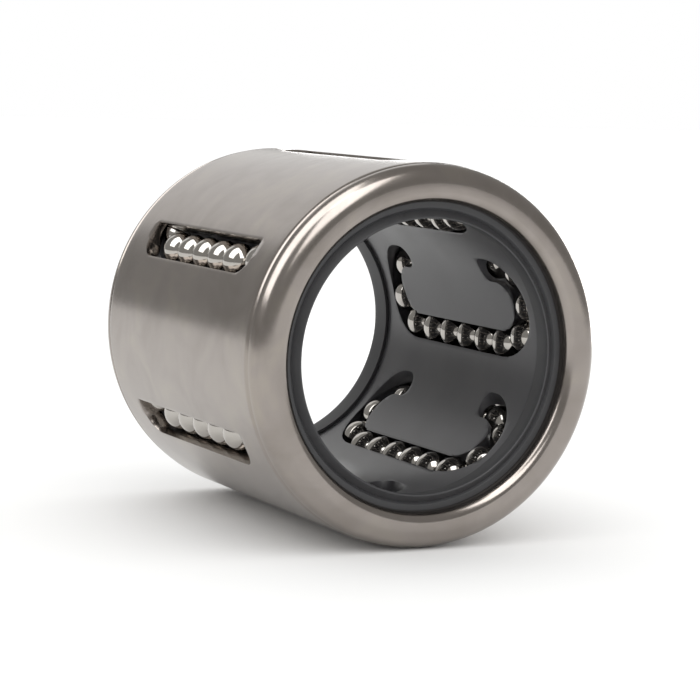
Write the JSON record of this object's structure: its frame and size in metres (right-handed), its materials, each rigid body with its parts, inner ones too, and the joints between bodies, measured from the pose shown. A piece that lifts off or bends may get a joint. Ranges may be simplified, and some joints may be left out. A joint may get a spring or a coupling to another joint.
{
  "type": "linear ball bushing",
  "caption": "Compact sealed linear ball bushing: a slotted drawn steel sleeve around a ball cage whose recirculating rows of balls carry a sliding shaft.",
  "frame": {"origin": "centre of the bushing, on its axis, midway between its end faces", "axes": "+Y along the bore axis towards the rear end, the front end faces -Y, +Z through the middle of one sleeve slot"},
  "size_m": [0.028, 0.03, 0.028],
  "materials": {
    "sleeve": "drawn, hardened and ground, satin",
    "cage": "moulded nylon, satin",
    "seal": "moulded nitrile rubber, matt",
    "balls": "polished bearing steel"
  },
  "bodies": {
    "bushing": {"outer_sleeve": "sleeve", "ball_cage": "cage", "front_seal": "seal", "rear_seal": "seal"},
    "circuit_1_loaded": {"circuit_1_loaded_balls": "balls"},
    "circuit_1_return": {"circuit_1_return_balls": "balls"},
    "circuit_1_front_turn": {"circuit_1_front_turn_balls": "balls"},
    "circuit_1_rear_turn": {"circuit_1_rear_turn_balls": "balls"},
    "circuit_2_loaded": {"circuit_2_loaded_balls": "balls"},
    "circuit_2_return": {"circuit_2_return_balls": "balls"},
    "circuit_2_front_turn": {"circuit_2_front_turn_balls": "balls"},
    "circuit_2_rear_turn": {"circuit_2_rear_turn_balls": "balls"},
    "circuit_3_loaded": {"circuit_3_loaded_balls": "balls"},
    "circuit_3_return": {"circuit_3_return_balls": "balls"},
    "circuit_3_front_turn": {"circuit_3_front_turn_balls": "balls"},
    "circuit_3_rear_turn": {"circuit_3_rear_turn_balls": "balls"},
    "circuit_4_loaded": {"circuit_4_loaded_balls": "balls"},
    "circuit_4_return": {"circuit_4_return_balls": "balls"},
    "circuit_4_front_turn": {"circuit_4_front_turn_balls": "balls"},
    "circuit_4_rear_turn": {"circuit_4_rear_turn_balls": "balls"},
    "circuit_5_loaded": {"circuit_5_loaded_balls": "balls"},
    "circuit_5_return": {"circuit_5_return_balls": "balls"},
    "circuit_5_front_turn": {"circuit_5_front_turn_balls": "balls"},
    "circuit_5_rear_turn": {"circuit_5_rear_turn_balls": "balls"},
    "circuit_6_loaded": {"circuit_6_loaded_balls": "balls"},
    "circuit_6_return": {"circuit_6_return_balls": "balls"},
    "circuit_6_front_turn": {"circuit_6_front_turn_balls": "balls"},
    "circuit_6_rear_turn": {"circuit_6_rear_turn_balls": "balls"}
  },
  "joints": [
    {"name": "circuit_1_loaded_roll", "type": "slide", "parent": "bushing", "child": "circuit_1_loaded", "axis": [0, -1, 0], "range_m": [-0.0014, 0.0008]},
    {"name": "circuit_1_return_roll", "type": "slide", "parent": "bushing", "child": "circuit_1_return", "axis": [0, 1, 0], "range_m": [-0.0014, 0.0008]},
    {"name": "circuit_1_front_turn_roll", "type": "hinge", "parent": "bushing", "child": "circuit_1_front_turn", "pos_m": [0.00287, -0.0069, 0.01117], "axis": [-0.3923, 0, -0.9198], "range_deg": [-25.71, 14.7]},
    {"name": "circuit_1_rear_turn_roll", "type": "hinge", "parent": "bushing", "child": "circuit_1_rear_turn", "pos_m": [0.00287, 0.0069, 0.01117], "axis": [-0.3923, 0, -0.9198], "range_deg": [-25.71, 14.7]},
    {"name": "circuit_2_loaded_roll", "type": "slide", "parent": "bushing", "child": "circuit_2_loaded", "axis": [0, -1, 0], "range_m": [-0.0016, 0.0006]},
    {"name": "circuit_2_return_roll", "type": "slide", "parent": "bushing", "child": "circuit_2_return", "axis": [0, 1, 0], "range_m": [-0.0016, 0.0006]},
    {"name": "circuit_2_front_turn_roll", "type": "hinge", "parent": "bushing", "child": "circuit_2_front_turn", "pos_m": [0.01111, -0.0069, 0.0031], "axis": [-0.9928, 0, -0.1201], "range_deg": [-29.38, 11.03]},
    {"name": "circuit_2_rear_turn_roll", "type": "hinge", "parent": "bushing", "child": "circuit_2_rear_turn", "pos_m": [0.01111, 0.0069, 0.0031], "axis": [-0.9928, 0, -0.1201], "range_deg": [-29.38, 11.03]},
    {"name": "circuit_3_loaded_roll", "type": "slide", "parent": "bushing", "child": "circuit_3_loaded", "axis": [0, -1, 0], "range_m": [-0.0003, 0.0019]},
    {"name": "circuit_3_return_roll", "type": "slide", "parent": "bushing", "child": "circuit_3_return", "axis": [0, 1, 0], "range_m": [-0.0003, 0.0019]},
    {"name": "circuit_3_front_turn_roll", "type": "hinge", "parent": "bushing", "child": "circuit_3_front_turn", "pos_m": [0.00824, -0.0069, -0.00807], "axis": [-0.6004, 0, 0.7997], "range_deg": [-5.53, 34.88]},
    {"name": "circuit_3_rear_turn_roll", "type": "hinge", "parent": "bushing", "child": "circuit_3_rear_turn", "pos_m": [0.00824, 0.0069, -0.00807], "axis": [-0.6004, 0, 0.7997], "range_deg": [-5.53, 34.88]},
    {"name": "circuit_4_loaded_roll", "type": "slide", "parent": "bushing", "child": "circuit_4_loaded", "axis": [0, -1, 0], "range_m": [-0.0007, 0.0015]},
    {"name": "circuit_4_return_roll", "type": "slide", "parent": "bushing", "child": "circuit_4_return", "axis": [0, 1, 0], "range_m": [-0.0007, 0.0015]},
    {"name": "circuit_4_front_turn_roll", "type": "hinge", "parent": "bushing", "child": "circuit_4_front_turn", "pos_m": [-0.00287, -0.0069, -0.01117], "axis": [0.3923, 0, 0.9198], "range_deg": [-12.86, 27.54]},
    {"name": "circuit_4_rear_turn_roll", "type": "hinge", "parent": "bushing", "child": "circuit_4_rear_turn", "pos_m": [-0.00287, 0.0069, -0.01117], "axis": [0.3923, 0, 0.9198], "range_deg": [-12.86, 27.54]},
    {"name": "circuit_5_loaded_roll", "type": "slide", "parent": "bushing", "child": "circuit_5_loaded", "axis": [0, -1, 0], "range_m": [-0.0012, 0.001]},
    {"name": "circuit_5_return_roll", "type": "slide", "parent": "bushing", "child": "circuit_5_return", "axis": [0, 1, 0], "range_m": [-0.0012, 0.001]},
    {"name": "circuit_5_front_turn_roll", "type": "hinge", "parent": "bushing", "child": "circuit_5_front_turn", "pos_m": [-0.01111, -0.0069, -0.0031], "axis": [0.9928, 0, 0.1201], "range_deg": [-22.04, 18.37]},
    {"name": "circuit_5_rear_turn_roll", "type": "hinge", "parent": "bushing", "child": "circuit_5_rear_turn", "pos_m": [-0.01111, 0.0069, -0.0031], "axis": [0.9928, 0, 0.1201], "range_deg": [-22.04, 18.37]},
    {"name": "circuit_6_loaded_roll", "type": "slide", "parent": "bushing", "child": "circuit_6_loaded", "axis": [0, -1, 0], "range_m": [-0.002, 0.0002]},
    {"name": "circuit_6_return_roll", "type": "slide", "parent": "bushing", "child": "circuit_6_return", "axis": [0, 1, 0], "range_m": [-0.002, 0.0002]},
    {"name": "circuit_6_front_turn_roll", "type": "hinge", "parent": "bushing", "child": "circuit_6_front_turn", "pos_m": [-0.00824, -0.0069, 0.00807], "axis": [0.6004, 0, -0.7997], "range_deg": [-36.72, 3.69]},
    {"name": "circuit_6_rear_turn_roll", "type": "hinge", "parent": "bushing", "child": "circuit_6_rear_turn", "pos_m": [-0.00824, 0.0069, 0.00807], "axis": [0.6004, 0, -0.7997], "range_deg": [-36.72, 3.69]}
  ],
  "couplings": [
    {"joint": "circuit_1_return_roll", "follows": "circuit_1_loaded_roll", "ratio": 1},
    {"joint": "circuit_1_front_turn_roll", "follows": "circuit_1_loaded_roll", "rad_per_m": 320.24},
    {"joint": "circuit_1_rear_turn_roll", "follows": "circuit_1_loaded_roll", "rad_per_m": 320.24},
    {"joint": "circuit_2_return_roll", "follows": "circuit_2_loaded_roll", "ratio": 1},
    {"joint": "circuit_2_front_turn_roll", "follows": "circuit_2_loaded_roll", "rad_per_m": 320.24},
    {"joint": "circuit_2_rear_turn_roll", "follows": "circuit_2_loaded_roll", "rad_per_m": 320.24},
    {"joint": "circuit_3_return_roll", "follows": "circuit_3_loaded_roll", "ratio": 1},
    {"joint": "circuit_3_front_turn_roll", "follows": "circuit_3_loaded_roll", "rad_per_m": 320.24},
    {"joint": "circuit_3_rear_turn_roll", "follows": "circuit_3_loaded_roll", "rad_per_m": 320.24},
    {"joint": "circuit_4_return_roll", "follows": "circuit_4_loaded_roll", "ratio": 1},
    {"joint": "circuit_4_front_turn_roll", "follows": "circuit_4_loaded_roll", "rad_per_m": 320.24},
    {"joint": "circuit_4_rear_turn_roll", "follows": "circuit_4_loaded_roll", "rad_per_m": 320.24},
    {"joint": "circuit_5_return_roll", "follows": "circuit_5_loaded_roll", "ratio": 1},
    {"joint": "circuit_5_front_turn_roll", "follows": "circuit_5_loaded_roll", "rad_per_m": 320.24},
    {"joint": "circuit_5_rear_turn_roll", "follows": "circuit_5_loaded_roll", "rad_per_m": 320.24},
    {"joint": "circuit_6_return_roll", "follows": "circuit_6_loaded_roll", "ratio": 1},
    {"joint": "circuit_6_front_turn_roll", "follows": "circuit_6_loaded_roll", "rad_per_m": 320.24},
    {"joint": "circuit_6_rear_turn_roll", "follows": "circuit_6_loaded_roll", "rad_per_m": 320.24}
  ]
}
